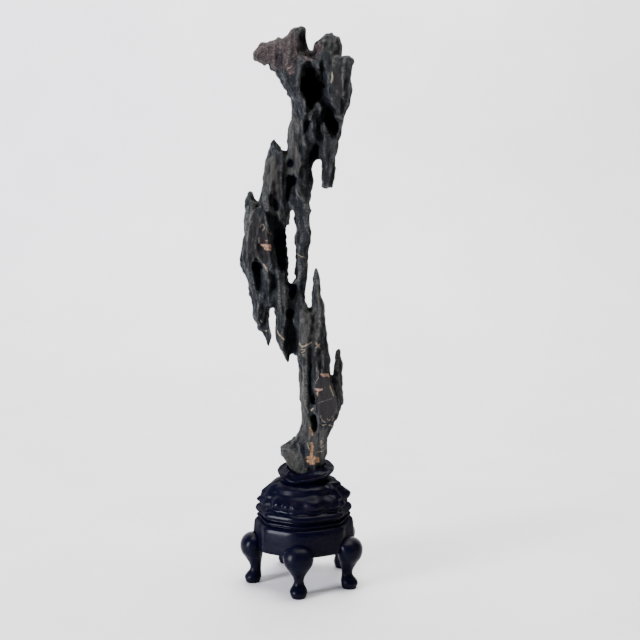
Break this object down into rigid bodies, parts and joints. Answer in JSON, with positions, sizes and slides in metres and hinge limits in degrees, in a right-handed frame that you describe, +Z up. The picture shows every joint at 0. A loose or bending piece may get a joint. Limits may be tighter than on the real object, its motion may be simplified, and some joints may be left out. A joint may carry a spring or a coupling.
{
  "type": "scholars rock",
  "caption": "Tall, slender, fluted scholar's rock with spikes, hollows and a slot, standing in the collar of a carved dark wood stand on cabriole legs.",
  "frame": {"origin": "middle of the whole object's plan, on the table that its feet stand on", "axes": "+Z up the stone, +X to the right and -Y towards the viewer of its show face"},
  "size_m": [0.119, 0.122, 0.531],
  "materials": {
    "dark_limestone": "weathered, fluted, with pale calcite veins",
    "ebonised_rosewood": "polished, nearly black"
  },
  "bodies": {
    "root": {"rock": "dark_limestone", "stand_body": "ebonised_rosewood", "leg_front": "ebonised_rosewood", "leg_right": "ebonised_rosewood", "leg_back_right": "ebonised_rosewood", "leg_back_left": "ebonised_rosewood", "leg_left": "ebonised_rosewood"}
  },
  "joints": []
}
